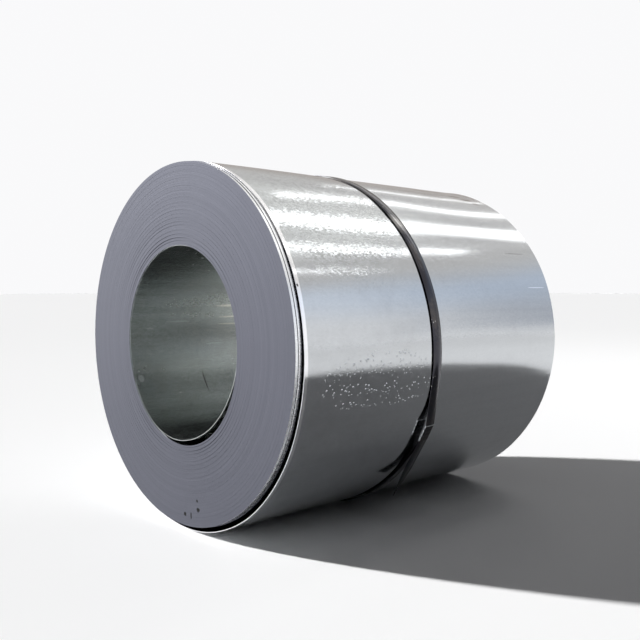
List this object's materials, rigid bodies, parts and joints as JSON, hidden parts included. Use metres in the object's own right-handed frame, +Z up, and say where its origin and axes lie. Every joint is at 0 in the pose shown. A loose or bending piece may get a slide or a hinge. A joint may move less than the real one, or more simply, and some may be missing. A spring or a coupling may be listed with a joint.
{
  "type": "steel coil",
  "caption": "Coil of galvanised steel strip lying on its side with an open eye, a loose outer wrap, and a steel strap held by a crimped seal; raw stock for an uncoiling line.",
  "frame": {"origin": "centre of the bounding box on the floor that the strap touches", "axes": "+Y along the coil's axis from the near end to the far end, +Z up, +X to the side with the strap's seal"},
  "size_m": [0.9589, 1.018, 0.96],
  "materials": {
    "zinc": "galvanised, spangled, semi-gloss",
    "strap_steel": "blackened and waxed, worn at the edges",
    "seal_steel": "blackened, bright at the folds"
  },
  "bodies": {
    "root": {"coil": "zinc", "strap": "strap_steel", "seal": "seal_steel"}
  },
  "joints": []
}
